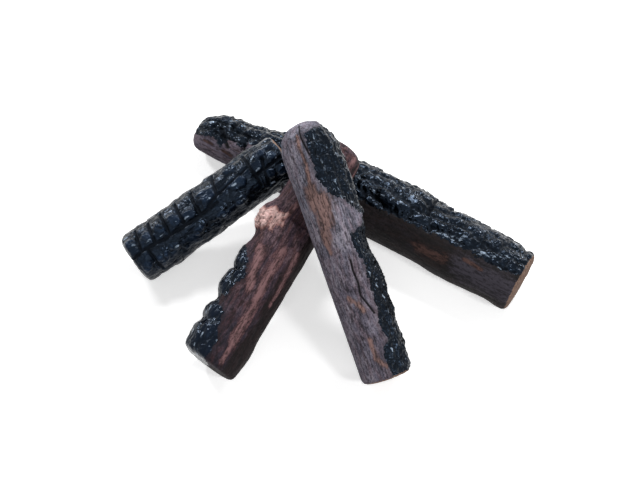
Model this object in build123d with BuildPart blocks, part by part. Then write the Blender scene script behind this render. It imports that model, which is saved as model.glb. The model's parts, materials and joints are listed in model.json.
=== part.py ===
from build123d import *

import os
from math import cos, exp, floor, pi, radians, sin, sqrt, tan

os.makedirs("parts", exist_ok=True)

# Gas log set: four logs cast in refractory cement, stacked as a laid fire over a burner.
# The back log lies on the hearth. The knotty log and the left log lean on it, and the centre
# log lies across the knotty one. Each log lifts off the one that it rests on, up its pin.
# X runs along the back log, -Y is the front of the hearth and Z is up. The origin is on the
# hearth, under the middle of the back log. Lengths are in millimetres, angles in degrees.

# Back log. Sets are sold by its length, and 457 is the 18-inch size.
back_length = 457
back_radius = 40.5
back_base_depth = 2.5
back_foot_bow = 8.5
back_head_bow = 7
back_head_slant = 6

# Left log: short, and its head rests on the front shoulder of the back log. A heading is the
# way that a leaning log points in plan, from +X, and its overhang is how far its axis runs on
# past the point where it rests. Its heel then stands on the hearth where its length brings it.
left_length = 219
left_radius = 31.7
left_heading = 64.1
left_head_overhang = 23.2
left_shoulder_angle = 45

# Knotty log: its head rests on top of the back log.
knotty_length = 303
knotty_radius = 33.2
knotty_heading = 90.4
knotty_head_overhang = 25.2
knotty_foot_slant = 6

# Centre log: lies across the knotty log, with its domed head in the air.
centre_length = 305
centre_radius = 32.7
centre_heading = 144
centre_head_overhang = 83.2

# Rounded ends: how far the rounding reaches along the log, and how far it draws the skin in.
sawn_round_reach = 7
sawn_round_depth = 6
blunt_round_reach = 18
blunt_round_depth = 14
dome_reach = 27
dome_depth = 26

# Char: burnt skin, cut by furrows into blocks that lie in rows along the log. The furrows wander,
# some blocks lie lower than others, and the relief dies out at the edge of the char.
furrow_half_width = 3.8
furrow_depth = 2.6
block_drop = 1.8
char_edge_reach = 7
back_char_rows = 14
back_block_length = 33
left_char_rows = 12
left_block_length = 21
centre_char_rows = 16
centre_block_length = 26

# Seats: each pair of logs meets on two flats, one cut into each round.
seat_depth = 3
seat_gap = 0.3
seat_bark_depth = 3
seat_margin = 2
seat_clear = 26
heel_flat_depth = 1.5

# Locating pins: steel dowels cast into the lower log, loose in a blind socket of the upper one.
pin_radius = 4
pin_set_depth = 22
pin_stand = 18
pin_clearance = 0.5
pin_tip_clearance = 2
pin_chamfer = 1

# Reinforcing rods: two straight steel bars cast into each log, side by side.
rod_radius = 3
rod_offset = 13
rod_end_cover = 24

# How finely the skin of a log is drawn, and how often a leaning log is settled on its seat.
station_step = 5
skin_columns = 48
end_section_angles = (0, 30, 60, 90)
settling_rounds = 20

# Where a log rests on the one below, as a share of the lower log's length.
left_rest_share = 0.279
knotty_rest_share = 0.435
centre_rest_share = 0.756

# Girth tables: share of the length from the foot, then radius as a share of the log's radius.
back_girth_shares = [
    (0, 0.55), (0.05, 0.65), (0.12, 0.74), (0.2, 0.83), (0.32, 0.95), (0.45, 1.0),
    (0.6, 0.995), (0.75, 0.98), (0.9, 0.965), (1, 0.945),
]
left_girth_shares = [(0, 0.99), (0.25, 1.02), (0.5, 1.0), (0.8, 1.0), (1, 0.97)]
knotty_girth_shares = [(0, 0.95), (0.1, 1.0), (0.5, 1.01), (0.8, 0.98), (1, 0.93)]
centre_girth_shares = [(0, 0.93), (0.3, 0.96), (0.6, 1.0), (0.9, 0.99), (1, 0.97)]

# How much of a slimmer girth the top of the back log takes, so that its underside stays low.
back_sink_share = 0.7

# Char tables: share of the length, then the angle where the char begins. It ends at a far angle.
back_char_shares = [
    (0, 54), (0.033, 46), (0.067, 36), (0.097, 56), (0.11, 36), (0.14, 30), (0.165, 42),
    (0.18, 24), (0.35, 30), (0.5, 36), (0.7, 34), (0.86, 27), (0.95, 31), (1, 20),
]
back_char_far_angle = -140
left_char_shares = [(0, -150), (1, -150)]
left_char_far_angle = 150
centre_char_shares = [
    (0, -3), (0.08, -9), (0.12, -4), (0.15, 12), (0.2, 4), (0.25, 12), (0.4, 14), (0.49, 6),
    (0.55, 9), (0.575, 52), (0.63, 52), (0.67, 34), (0.7, 0), (0.76, -18), (0.94, -17),
    (0.965, 60), (1, 150),
]
centre_char_far_angle = 150

# How far a furrow wanders, as a share of a row's width. How far each row of blocks is set on from
# the last and how uneven its blocks are, as shares of a block's length, with one wave of both in
# so many blocks. The scatter makes some furrows shallow, but none shallower than the least share.
furrow_wander_share = 0.22
row_shift_share = 0.618
block_uneven_share = 0.26
wave_block_count = 3.4
scatter_turn = 2.4
least_furrow_share = 0.5

# Lumps: share of the length, angle about the axis, half length as a share of the length, half
# width as an angle, and height as a share of the log's radius. Below zero is a hollow.
back_lump_shares = [
    (0.07, -35, 0.05, 50, 0.09), (0.19, 5, 0.05, 40, 0.05), (0.27, -50, 0.05, 40, 0.04),
    (0.15, 75, 0.05, 25, -0.04), (0.56, -40, 0.13, 62, 0.05), (0.655, -38, 0.03, 60, 0.08),
    (0.66, 25, 0.06, 22, 0.04), (0.73, -30, 0.025, 50, -0.02), (0.87, -20, 0.1, 52, 0.05),
    (0.96, 25, 0.03, 35, 0.03), (0.8, 105, 0.06, 30, 0.05), (0.93, 110, 0.03, 30, -0.03),
    (0.7, 170, 0.1, 30, 0.03), (0.35, 200, 0.1, 30, 0.03), (0.5, 262, 0.05, 28, -0.05),
]
left_lump_shares = [
    (0.08, -55, 0.07, 40, 0.05), (0.25, -20, 0.07, 32, 0.04), (0.43, -60, 0.08, 34, 0.04),
    (0.62, -25, 0.07, 34, 0.04), (0.8, -62, 0.07, 32, 0.05), (0.12, 40, 0.08, 32, 0.04),
    (0.33, 60, 0.08, 34, 0.04), (0.53, 35, 0.07, 30, 0.03), (0.2, 110, 0.1, 30, 0.04),
    (0.5, 115, 0.09, 30, 0.03), (0.3, 180, 0.12, 40, 0.03), (0.6, 215, 0.1, 35, 0.04),
]
knotty_lump_shares = [
    (0.065, -72, 0.066, 42, 0.16), (0.178, -70, 0.036, 34, 0.12), (0.305, -66, 0.052, 36, 0.14),
    (0.43, -64, 0.056, 34, 0.12), (0.13, -80, 0.012, 40, -0.07), (0.232, -74, 0.02, 34, -0.08),
    (0.367, -72, 0.012, 36, -0.07), (0.6, -68, 0.055, 42, 0.26), (0.655, -42, 0.032, 32, 0.12),
    (0.665, -38, 0.028, 20, -0.05), (0.3, 14, 0.16, 13, -0.05), (0.42, 42, 0.2, 13, -0.05),
    (0.22, 66, 0.16, 13, -0.04), (0.1, 95, 0.05, 30, 0.05), (0.5, 180, 0.2, 40, 0.03),
]
centre_lump_shares = [
    (0.62, 76, 0.028, 22, 0.13), (0.655, 60, 0.02, 16, 0.05), (0.5, 72, 0.05, 34, -0.1),
    (0.75, 70, 0.08, 36, 0.09), (0.86, 58, 0.06, 34, 0.08), (0.87, -75, 0.07, 34, 0.05),
    (0.12, 72, 0.05, 26, 0.05), (0.24, 62, 0.05, 24, 0.05), (0.36, 70, 0.05, 26, 0.05),
    (0.3, -60, 0.14, 30, 0.03), (0.55, -70, 0.1, 30, -0.03), (0.4, 175, 0.2, 40, 0.03),
    (0.955, 75, 0.035, 50, -0.12),
]


def read_table(table, share):
    """Value of a table at a share, in a straight line between its rows."""
    for (low, low_value), (high, high_value) in zip(table, table[1:]):
        if share <= high:
            return low_value + (high_value - low_value) * (share - low) / (high - low)
    return table[-1][1]


def bell(gap):
    """One in the middle of a furrow, fading to zero on both sides."""
    return exp(-(gap / furrow_half_width) ** 2)


class Char:
    """Burnt skin of a log between two angles: rows of blocks with furrows between them."""

    def __init__(self, rows, block_length, edge_shares, far_angle):
        self.rows = rows
        self.block_length = block_length
        self.edge_shares = edge_shares
        self.far_angle = far_angle

    def depth(self, share, angle, length, radius):
        """How far the skin lies under the tops of the highest blocks."""
        angle = (angle + 180) % 360 - 180
        edge_angle = read_table(self.edge_shares, share)
        way = 1 if self.far_angle > edge_angle else -1
        inside = min((angle - edge_angle) * way, (self.far_angle - angle) * way)
        fade = min(1, max(0, radians(inside) * radius / char_edge_reach))
        blocks = share * length / self.block_length
        wave = 2 * pi / wave_block_count
        wander = furrow_wander_share * sin(wave * blocks + radians(2 * angle))
        across = self.rows * angle / 360 + wander
        row = floor(across) % self.rows
        blocks += row_shift_share * row
        along = blocks + block_uneven_share * sin(wave * blocks + row)
        row_gap = abs(across - round(across)) * 2 * pi * radius / self.rows
        block_gap = abs(along - round(along)) * self.block_length
        row_furrow = self.scatter(round(across), floor(along)) * bell(row_gap)
        block_furrow = self.scatter(row, round(along)) * bell(block_gap)
        furrow = max(row_furrow, block_furrow)
        drop = self.scatter(row, floor(along)) * (1 - max(bell(row_gap), bell(block_gap)))
        return fade * (furrow_depth * furrow + block_drop * drop)

    def scatter(self, row, block):
        """A share that looks picked at random for one block or furrow, not under the least share."""
        pick = (1 + sin(scatter_turn * (row % self.rows + self.rows * block))) / 2
        return least_furrow_share + (1 - least_furrow_share) * pick


class LogForm:
    """Shape and place of one log: its axis, its girth, its lumps and its rounded ends.

    Angles run about the axis from its top, towards the right hand of someone who looks along
    the log from its foot to its head.
    """

    def __init__(self, length, radius, girth_shares, lump_shares, foot_round, head_round,
                 char=None, foot_bow=0, head_bow=0, sink_share=0, foot_slant=0, head_slant=0):
        self.length = length
        self.radius = radius
        self.girth_shares = girth_shares
        self.lump_shares = lump_shares
        self.foot_reach, self.foot_depth = foot_round
        self.head_reach, self.head_depth = head_round
        self.char = char
        self.foot_bow = foot_bow
        self.head_bow = head_bow
        self.sink_share = sink_share
        self.foot_slant = foot_slant
        self.head_slant = head_slant

    def place(self, foot, along):
        """Put the middle of the foot at a point, with the log running along a direction."""
        self.foot = foot
        self.along = along
        self.side = along.cross(Vector(0, 0, 1)).normalized()
        self.top = self.side.cross(along)

    def girth(self, share):
        """Radius of the log at a share of its length, without lumps."""
        return self.radius * read_table(self.girth_shares, share)

    def axis_point(self, share):
        """Centre of the log at a share of its length. Both ends bow towards the side."""
        bow = self.foot_bow if share < 1 / 2 else self.head_bow
        sink = (self.radius - self.girth(share)) * self.sink_share
        straight = self.foot + self.along * self.length * share
        return straight + self.side * bow * (2 * share - 1) ** 2 - self.top * sink

    def end_drop(self, share):
        """How far the rounding of either end draws the skin in."""
        foot_inside = min(1, max(0, 1 - share * self.length / self.foot_reach))
        head_inside = min(1, max(0, 1 - (1 - share) * self.length / self.head_reach))
        foot_drop = self.foot_depth * (1 - sqrt(1 - foot_inside ** 2))
        head_drop = self.head_depth * (1 - sqrt(1 - head_inside ** 2))
        return foot_drop + head_drop

    def skin_radius(self, share, angle):
        """Distance from the axis to the skin, lumps, char and rounding included."""
        radius = self.girth(share)
        if self.char:
            radius -= self.char.depth(share, angle, self.length, self.radius)
        for lump_share, lump_angle, half_length_share, half_angle, height_share in self.lump_shares:
            turn = (angle - lump_angle + 180) % 360 - 180
            spread = ((share - lump_share) / half_length_share) ** 4 + (turn / half_angle) ** 4
            radius += self.radius * height_share * exp(-spread)
        return radius - self.end_drop(share)

    def section(self, share):
        """One section of the log as a face. A slanted end tilts the sections near it.

        A slanted foot reaches furthest on its left, and a slanted head along its top, where the
        log keeps its length.
        """
        foot_fade = max(0, 1 - share * self.length / (3 * self.radius))
        head_fade = max(0, 1 - (1 - share) * self.length / (3 * self.radius))
        foot_tilt = tan(radians(self.foot_slant)) * foot_fade
        head_tilt = tan(radians(self.head_slant)) * head_fade
        tilt = self.side * foot_tilt - self.top * head_tilt
        centre = self.axis_point(share)
        hinge = self.top * (self.girth(1) - self.head_depth)
        plane = Plane(centre + self.along * hinge.dot(tilt), x_dir=self.side, z_dir=self.along + tilt)
        outline = []
        for column in range(skin_columns):
            angle = 90 + 360 * column / skin_columns
            radius = self.skin_radius(share, angle)
            spoke = self.top * cos(radians(angle)) + self.side * sin(radians(angle))
            set_back = (spoke * radius - hinge).dot(tilt)
            point = centre + spoke * radius - self.along * set_back
            outline.append(plane.to_local_coords(point))
        even_marks = [column / skin_columns for column in range(skin_columns + 1)]
        with BuildSketch(plane) as section:
            with BuildLine():
                add(Edge.make_spline(outline, periodic=True, parameters=even_marks))
            make_face()
        return section.sketch

    def sections(self):
        """All sections from foot to head, closer together over the rounded ends."""
        middle = self.length - self.foot_reach - self.head_reach
        steps = round(middle / station_step)
        corner_shares = [1 - cos(radians(angle)) for angle in end_section_angles]
        stations = [self.foot_reach * corner for corner in corner_shares]
        stations += [self.foot_reach + middle * step / steps for step in range(1, steps)]
        stations += [self.length - self.head_reach * corner for corner in corner_shares[::-1]]
        return [self.section(station / self.length) for station in stations]


class Seat:
    """Where an upper log rests on a lower one: a flat cut into each, and a pin square to both."""

    def __init__(self, lower, upper, point, normal):
        self.point = point
        self.normal = normal
        self.lower_plane = self.plane_along(lower, 0)
        self.upper_plane = self.plane_along(upper, seat_gap)
        cosine = abs(self.lower_plane.x_dir.dot(self.upper_plane.x_dir))
        sine = sqrt(1 - cosine ** 2)
        cut_depth = seat_depth + seat_bark_depth
        lower_half = sqrt(2 * lower.radius * cut_depth - cut_depth ** 2)
        upper_half = sqrt(2 * upper.radius * cut_depth - cut_depth ** 2)
        run_out = 2 * upper.radius * abs(normal.dot(upper.along))
        self.lower_length = 2 * ((upper_half + lower_half * cosine) / sine + seat_margin)
        self.upper_length = 2 * ((lower_half + upper_half * cosine) / sine + seat_margin + run_out)

    def plane_along(self, log, rise):
        """Plane of one flat, with its X axis along the log that it is cut into."""
        across = self.normal.cross(log.along)
        origin = self.point + self.normal * rise
        return Plane(origin, x_dir=across.cross(self.normal), z_dir=self.normal)


def lean(upper, lower, lower_share, heading, head_overhang, shoulder_angle=None):
    """Stand a log on its heel so that it rests on another, and return the seat between them.

    With a shoulder angle the seat faces that far forward from straight up. Without one the
    upper log lies over the top of the lower log, square to both.
    """
    plan = Vector(cos(radians(heading)), sin(radians(heading)), 0)
    if shoulder_angle is None:
        normal = lower.top
    else:
        turn = radians(shoulder_angle)
        normal = lower.top * cos(turn) + lower.side * sin(turn)
    rest_length = upper.length - head_overhang
    rest_radius = upper.girth(rest_length / upper.length)
    heel_radius = upper.girth(upper.foot_reach / upper.length)
    heel_z = heel_radius
    for _ in range(settling_rounds):
        flat_point = lower.axis_point(lower_share) + normal * (lower.girth(lower_share) - seat_depth)
        rest = flat_point + normal * (seat_gap + rest_radius - seat_depth)
        slope_sine = (rest.Z - heel_z) / (rest_length - upper.foot_reach)
        slope_cosine = sqrt(1 - slope_sine ** 2)
        along = plan * slope_cosine + Vector(0, 0, slope_sine)
        upper.place(rest - along * rest_length, along)
        if shoulder_angle is None:
            normal = lower.along.cross(along).normalized()
        heel_z = heel_radius * slope_cosine - heel_flat_depth
    return Seat(lower, upper, flat_point, normal)


# The four logs. The back log lies with its foot end, the slim one, to the left.
sawn_round = (sawn_round_reach, sawn_round_depth)
blunt_round = (blunt_round_reach, blunt_round_depth)
dome_round = (dome_reach, dome_depth)

back_char = Char(back_char_rows, back_block_length, back_char_shares, back_char_far_angle)
left_char = Char(left_char_rows, left_block_length, left_char_shares, left_char_far_angle)
centre_char = Char(centre_char_rows, centre_block_length, centre_char_shares,
                   centre_char_far_angle)

back = LogForm(back_length, back_radius, back_girth_shares, back_lump_shares, sawn_round,
               sawn_round, char=back_char, foot_bow=back_foot_bow, head_bow=back_head_bow,
               sink_share=back_sink_share, head_slant=back_head_slant)
left = LogForm(left_length, left_radius, left_girth_shares, left_lump_shares, sawn_round,
               sawn_round, char=left_char)
knotty = LogForm(knotty_length, knotty_radius, knotty_girth_shares, knotty_lump_shares,
                 sawn_round, blunt_round, foot_slant=knotty_foot_slant)
centre = LogForm(centre_length, centre_radius, centre_girth_shares, centre_lump_shares,
                 sawn_round, dome_round, char=centre_char)

back.place(Vector(-back_length / 2, 0, back_radius - back_base_depth), Vector(1, 0, 0))
left_seat = lean(left, back, left_rest_share, left_heading, left_head_overhang,
                 left_shoulder_angle)
knotty_seat = lean(knotty, back, knotty_rest_share, knotty_heading, knotty_head_overhang)
centre_seat = lean(centre, knotty, centre_rest_share, centre_heading, centre_head_overhang)


# Reinforcing rods: straight round steel bars, cast in on both sides of each log's axis.
rods = {}
for log_name, form in {"back": back, "left": left, "knotty": knotty, "centre": centre}.items():
    cover_share = rod_end_cover / form.length
    for hand_name, hand in (("left", -1), ("right", 1)):
        shift = form.side * rod_offset * hand
        start = form.axis_point(cover_share) + shift
        end = form.axis_point(1 - cover_share) + shift
        with BuildPart() as rod:
            with BuildSketch(Plane(start, z_dir=end - start)):
                Circle(rod_radius)
            extrude(amount=(end - start).length)
        rod.part.label = f"{log_name}_log_rod_{hand_name}"
        export_step(rod.part, f"parts/{rod.part.label}.step")
        rods[log_name, hand_name] = rod.part


# Locating pins: chamfered steel dowels, square to the flats, named for the log that they hold.
pins = {}
for log_name, seat in {"left": left_seat, "knotty": knotty_seat, "centre": centre_seat}.items():
    with BuildPart() as pin:
        with BuildSketch(seat.lower_plane.offset(-pin_set_depth)):
            Circle(pin_radius)
        extrude(amount=pin_set_depth + seat_gap + pin_stand)
        chamfer(pin.edges().filter_by(GeomType.CIRCLE), pin_chamfer)
    pin.part.label = f"{log_name}_log_pin"
    export_step(pin.part, f"parts/{pin.part.label}.step")
    pins[log_name] = pin.part


# Back log: bark on its upper half, flat underneath, with flats for the two logs that lean on it.
with BuildPart() as back_log:
    loft(sections=back.sections(), ruled=True)
    split(bisect_by=Plane.XY, keep=Keep.TOP)
    for seat in (left_seat, knotty_seat):
        with BuildSketch(seat.lower_plane):
            Rectangle(seat.lower_length, 2 * back_radius)
    extrude(amount=seat_clear, mode=Mode.SUBTRACT)
    add([rods["back", "left"], rods["back", "right"], pins["left"], pins["knotty"]],
        mode=Mode.SUBTRACT)
back_log.part.label = "back_log"
export_step(back_log.part, "parts/back_log.step")


# Left log: charred all over. Its head is cut on the slant to sit on the back log's shoulder.
with BuildPart() as left_log:
    loft(sections=left.sections(), ruled=True)
    split(bisect_by=Plane.XY, keep=Keep.TOP)
    with BuildSketch(left_seat.upper_plane):
        Rectangle(left_seat.upper_length, 2 * left_radius)
    extrude(amount=-seat_clear, mode=Mode.SUBTRACT)
    with BuildSketch(left_seat.upper_plane):
        Circle(pin_radius + pin_clearance)
    extrude(amount=pin_stand + pin_tip_clearance, mode=Mode.SUBTRACT)
    add([rods["left", "left"], rods["left", "right"]], mode=Mode.SUBTRACT)
left_log.part.label = "left_log"
export_step(left_log.part, "parts/left_log.step")


# Knotty log: four charred knots down its left side and the stub of a broken branch on top.
with BuildPart() as knotty_log:
    loft(sections=knotty.sections(), ruled=True)
    split(bisect_by=Plane.XY, keep=Keep.TOP)
    with BuildSketch(centre_seat.lower_plane):
        Rectangle(centre_seat.lower_length, 2 * knotty_radius)
    extrude(amount=seat_clear, mode=Mode.SUBTRACT)
    with BuildSketch(knotty_seat.upper_plane):
        Rectangle(knotty_seat.upper_length, 2 * knotty_radius)
    extrude(amount=-seat_clear, mode=Mode.SUBTRACT)
    with BuildSketch(knotty_seat.upper_plane):
        Circle(pin_radius + pin_clearance)
    extrude(amount=pin_stand + pin_tip_clearance, mode=Mode.SUBTRACT)
    add([rods["knotty", "left"], rods["knotty", "right"], pins["centre"]], mode=Mode.SUBTRACT)
knotty_log.part.label = "knotty_log"
export_step(knotty_log.part, "parts/knotty_log.step")


# Centre log: domed head, weathered skin on its left and char with a standing chip on its right.
with BuildPart() as centre_log:
    loft(sections=centre.sections(), ruled=True)
    split(bisect_by=Plane.XY, keep=Keep.TOP)
    with BuildSketch(centre_seat.upper_plane):
        Rectangle(centre_seat.upper_length, 2 * centre_radius)
    extrude(amount=-seat_clear, mode=Mode.SUBTRACT)
    with BuildSketch(centre_seat.upper_plane):
        Circle(pin_radius + pin_clearance)
    extrude(amount=pin_stand + pin_tip_clearance, mode=Mode.SUBTRACT)
    add([rods["centre", "left"], rods["centre", "right"]], mode=Mode.SUBTRACT)
centre_log.part.label = "centre_log"
export_step(centre_log.part, "parts/centre_log.step")

for log_name, seat in {"left": left_seat, "knotty": knotty_seat, "centre": centre_seat}.items():
    print(f"{log_name} log lifts along", [round(value, 6) for value in seat.normal])
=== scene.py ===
import json
from functools import partial
from math import ceil, cos, hypot, pi, radians, sin, tan

import bpy
import numpy as np
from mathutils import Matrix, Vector
from mathutils.bvhtree import BVHTree


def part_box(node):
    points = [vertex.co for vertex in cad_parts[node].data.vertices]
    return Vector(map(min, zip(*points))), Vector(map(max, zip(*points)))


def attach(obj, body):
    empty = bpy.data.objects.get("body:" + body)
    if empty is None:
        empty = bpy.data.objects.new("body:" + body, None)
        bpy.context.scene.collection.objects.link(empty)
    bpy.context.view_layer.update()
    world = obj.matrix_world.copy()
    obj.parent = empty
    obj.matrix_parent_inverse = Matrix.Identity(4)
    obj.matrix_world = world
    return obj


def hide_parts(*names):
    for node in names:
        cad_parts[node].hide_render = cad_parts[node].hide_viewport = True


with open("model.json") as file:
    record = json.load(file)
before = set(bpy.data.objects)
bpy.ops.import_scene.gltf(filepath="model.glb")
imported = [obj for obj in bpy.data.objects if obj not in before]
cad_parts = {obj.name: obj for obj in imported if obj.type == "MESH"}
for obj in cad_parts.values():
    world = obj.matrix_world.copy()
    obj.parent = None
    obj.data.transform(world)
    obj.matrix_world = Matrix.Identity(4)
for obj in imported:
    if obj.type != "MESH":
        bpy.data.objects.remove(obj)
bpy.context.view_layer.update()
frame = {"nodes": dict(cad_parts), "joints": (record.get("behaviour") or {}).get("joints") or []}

# Gas log set: four logs cast in refractory cement and painted as burnt firewood, stacked
# crosswise. Lengths are in metres, and values in millimetres are multiplied by MM.
MM = 0.001


# Stand-point: the stack is seen from in front, from its right and from steeply above, through
# a long lens. The lens is given for film 36 mm wide.
view_turn = radians(31.5)
view_height = radians(56)
view_distance = 1648.4 * MM
view_aim = Vector((-19.9, -58.2, 0.8)) * MM
film_width = 36
view_lens = 75.4

towards_lens = Vector((sin(view_turn) * cos(view_height), -cos(view_turn) * cos(view_height),
                       sin(view_height)))
lens = bpy.data.cameras.new("camera")
lens.sensor_width = film_width
lens.lens = view_lens
camera = bpy.data.objects.new("camera", lens)
camera.location = view_aim + towards_lens * view_distance
camera.rotation_euler = towards_lens.to_track_quat("Z", "Y").to_euler()
bpy.context.scene.collection.objects.link(camera)
bpy.context.scene.camera = camera
bpy.context.scene.view_settings.view_transform = "Standard"


# Studio: a white sweep of paper on the ground in an even white room. Four small soft boxes behind
# and beside the stack draw the highlights on the glossy char, and a large one in front fills in.
room_light = 0.2
floor_radius = 3
floor_drop = 0.3 * MM
floor_sides = 64

# The camera and mirrors see white paper that glows on its own, fully so where the ground runs out
# of the lamps' light. For the light that it throws back on the stack it is darker.
paper_hex = "f4f4f4"
paper_shade_hex = "8a8a8a"
paper_glow = 0.55
glow_start = 0.5
glow_full = 1.4

# The lamps, with their places and sizes in metres.
soft_boxes = {
    "back_box": {"at": (-0.35, 0.75, 1.2), "size": 0.24, "radiance": 60},
    "behind_box": {"at": (0.2, 1.25, 0.6), "size": 0.2, "radiance": 50},
    "left_box": {"at": (-1.2, 0.15, 0.75), "size": 0.2, "radiance": 60},
    "right_box": {"at": (1.15, -0.35, 0.8), "size": 0.2, "radiance": 50},
    "front_box": {"at": (0.5, -1.1, 1.3), "size": 1, "radiance": 1.5},
}


def paint(hex_value):
    """An sRGB hex value as linear red, green, blue and alpha."""
    channels = [int(hex_value[place:place + 2], 16) / 255 for place in (0, 2, 4)]
    linear = [c / 12.92 if c <= 0.04045 else ((c + 0.055) / 1.055) ** 2.4 for c in channels]
    return (*linear, 1)


def add_node(tree, kind, inputs=(), **settings):
    """A new node with its settings. Each input gets a value, or a link from a node or output."""
    made = tree.nodes.new(kind)
    for name, value in settings.items():
        setattr(made, name, value)
    for name, value in dict(inputs).items():
        if isinstance(name, int):
            socket = made.inputs[name]
        else:
            socket = next(s for s in made.inputs if s.name == name and s.enabled)
        if isinstance(value, bpy.types.Node):
            value = next(output for output in value.outputs if output.enabled)
        if isinstance(value, bpy.types.NodeSocket):
            tree.links.new(value, socket)
        else:
            socket.default_value = value
    return made


def background_ray(add):
    """One for the rays that see the background: from the camera, or by a mirror or glass."""
    path = add("ShaderNodeLightPath")
    seen = add("ShaderNodeMath", {0: path.outputs["Is Camera Ray"],
                                  1: path.outputs["Is Glossy Ray"]}, operation="MAXIMUM")
    return add("ShaderNodeMath", {0: seen, 1: path.outputs["Is Transmission Ray"]},
               operation="MAXIMUM")


def new_material(name):
    """An empty material, and the function that adds nodes to it."""
    material = bpy.data.materials.new(name)
    material.use_nodes = True
    material.node_tree.nodes.clear()
    return material, partial(add_node, material.node_tree)


room = bpy.data.worlds.new("white room")
room.use_nodes = True
room.node_tree.nodes.clear()
add = partial(add_node, room.node_tree)
room_strength = add("ShaderNodeMapRange", {"Value": background_ray(add), "To Min": room_light,
                                           "To Max": 1})
white = add("ShaderNodeBackground", {"Color": paint("ffffff"), "Strength": room_strength})
add("ShaderNodeOutputWorld", {"Surface": white})
bpy.context.scene.world = room

paper, add = new_material("white paper")
matt_colour = add("ShaderNodeMix", {"Factor": background_ray(add), "A": paint(paper_shade_hex),
                                    "B": paint(paper_hex)}, data_type="RGBA")
matt = add("ShaderNodeBsdfDiffuse", {"Color": matt_colour})
spot = add("ShaderNodeTexCoord").outputs["Object"]
away = add("ShaderNodeVectorMath", {0: spot}, operation="LENGTH")
lit = add("ShaderNodeMapRange", {"Value": away.outputs["Value"], "From Min": glow_start,
                                 "From Max": glow_full, "To Min": paper_glow})
glow_strength = add("ShaderNodeMath", {0: background_ray(add), 1: lit}, operation="MULTIPLY")
glow = add("ShaderNodeEmission", {"Color": paint("ffffff"), "Strength": glow_strength})
add("ShaderNodeOutputMaterial", {"Surface": add("ShaderNodeAddShader", {0: matt, 1: glow})})

rim = [(floor_radius * cos(2 * pi * side / floor_sides),
        floor_radius * sin(2 * pi * side / floor_sides), -floor_drop)
       for side in range(floor_sides)]
sheet = bpy.data.meshes.new("paper_sweep")
sheet.from_pydata(rim, [], [range(floor_sides)])
sheet.materials.append(paper)
sweep = bpy.data.objects.new("paper_sweep", sheet)
bpy.context.scene.collection.objects.link(sweep)

for name, box in soft_boxes.items():
    lamp = bpy.data.lights.new(name, "AREA")
    lamp.size = box["size"]
    lamp.energy = box["radiance"] * pi * box["size"] ** 2
    holder = bpy.data.objects.new(name, lamp)
    holder.location = box["at"]
    holder.rotation_euler = (holder.location - view_aim).to_track_quat("Z", "Y").to_euler()
    bpy.context.scene.collection.objects.link(holder)


# Back log: the longest, which carries the others. It is cast in one piece of refractory cement,
# with bark on its upper half that is painted glossy black over a smooth brown wash. Its sawn head
# stays raw.
back_length = 457 * MM
back_radius = 40.5 * MM
back_head_slant = 6
back_skin_step = 1.19 * MM

# Places on a log are given by share of its length from the foot, and by angle in degrees about
# its axis from the top, towards the right hand of someone who looks from its foot to its head.
# Brushed lines have their half width in mm in front.
back_bends = [(0, 1.6, -2.4), (0.05, 0.1, -0.1), (0.12, -1.8, 1.8), (0.2, -3.6, 3.6),
              (0.32, -5.3, 5.9), (0.45, -6.2, 6.0), (0.6, -5.8, 4.4), (0.75, -4.1, 2.6),
              (0.9, -1.2, 0.7), (1, 1.5, -0.8)]
back_bark = [(-0.1, -140), (1.1, -140), (1.1, 20), (0.993, 21), (0.95, 32), (0.913, 30),
             (0.857, 27), (0.807, 32), (0.753, 30), (0.66, 34), (0.5, 36), (0.35, 30), (0.18, 24),
             (0.165, 42), (0.14, 30), (0.11, 36), (0.097, 56), (0.067, 36), (0.033, 46),
             (0, 54), (-0.1, 56)]
back_rust = [(5, [(0.045, 56), (0.07, 58)]), (5, [(0.11, 64), (0.135, 70)]),
             (9, [(0.72, 66), (0.8, 62)]), (4, [(0.85, 44), (0.9, 46)])]
back_grey = [(26, [(0.86, 62), (1, 58)])]
back_grooves = [(4.5, [(0.075, 12), (0.097, 32), (0.118, 52)]), (2.5, [(0.165, 10), (0.17, 42)]),
                (2.5, [(0.11, -40), (0.105, 4), (0.165, 8), (0.24, 12)]),
                (2.4, [(0.7, -60), (0.705, -26), (0.71, 4)])]
back_bosses = [(11, [(0.04, 10), (0.05, 18)]), (11, [(0.075, -18), (0.09, -12)]),
               (10, [(0.035, 40), (0.045, 42)]), (12, [(0.147, 22), (0.155, 28)]),
               (10, [(0.187, -10), (0.22, -4)]), (10, [(0.2, 24), (0.21, 26)])]
# Painted highlights on the bark: glints dabbed on at these places, and sheen brushed on along these
# lines.
back_painted_glints = [(0.513, -22), (0.547, -16), (0.617, -24), (0.657, -32), (0.55, 12), (0.583, 12),
               (0.637, 10), (0.653, -10), (0.767, 21), (0.8, 24), (0.83, 9), (0.873, 15),
               (0.917, 12), (0.943, 4), (0.94, 27), (0.943, -34), (0.817, -39), (0.023, 40),
               (0.037, 4), (0.097, -3), (0.137, -12), (0.137, 26), (0.18, 24), (0.197, -14),
               (0.22, -22)]
back_sheen = [(6, [(0.757, 27), (0.797, 21), (0.84, 14)]), (4, [(0.88, 22), (0.93, 12)]),
              (2.5, [(0.5, -15), (0.553, -27), (0.613, -27)]), (3, [(0.04, 2), (0.1, -22)]),
              (3, [(0.147, 16), (0.19, 12)]), (3, [(0.13, -21), (0.2, -16)])]

# How a skin is cast: how often it is smoothed, from how far out, what counts as the bore of a pin
# and as a flat, and over how many rings a flat's mark fades.
skin_smoothing = 8
cast_reach = 0.15
bore_reach = 5.2 * MM
bore_depth = 25 * MM
flat_tolerance = 0.08 * MM
flat_facing = 0.9995
flat_feather = 3
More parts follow.
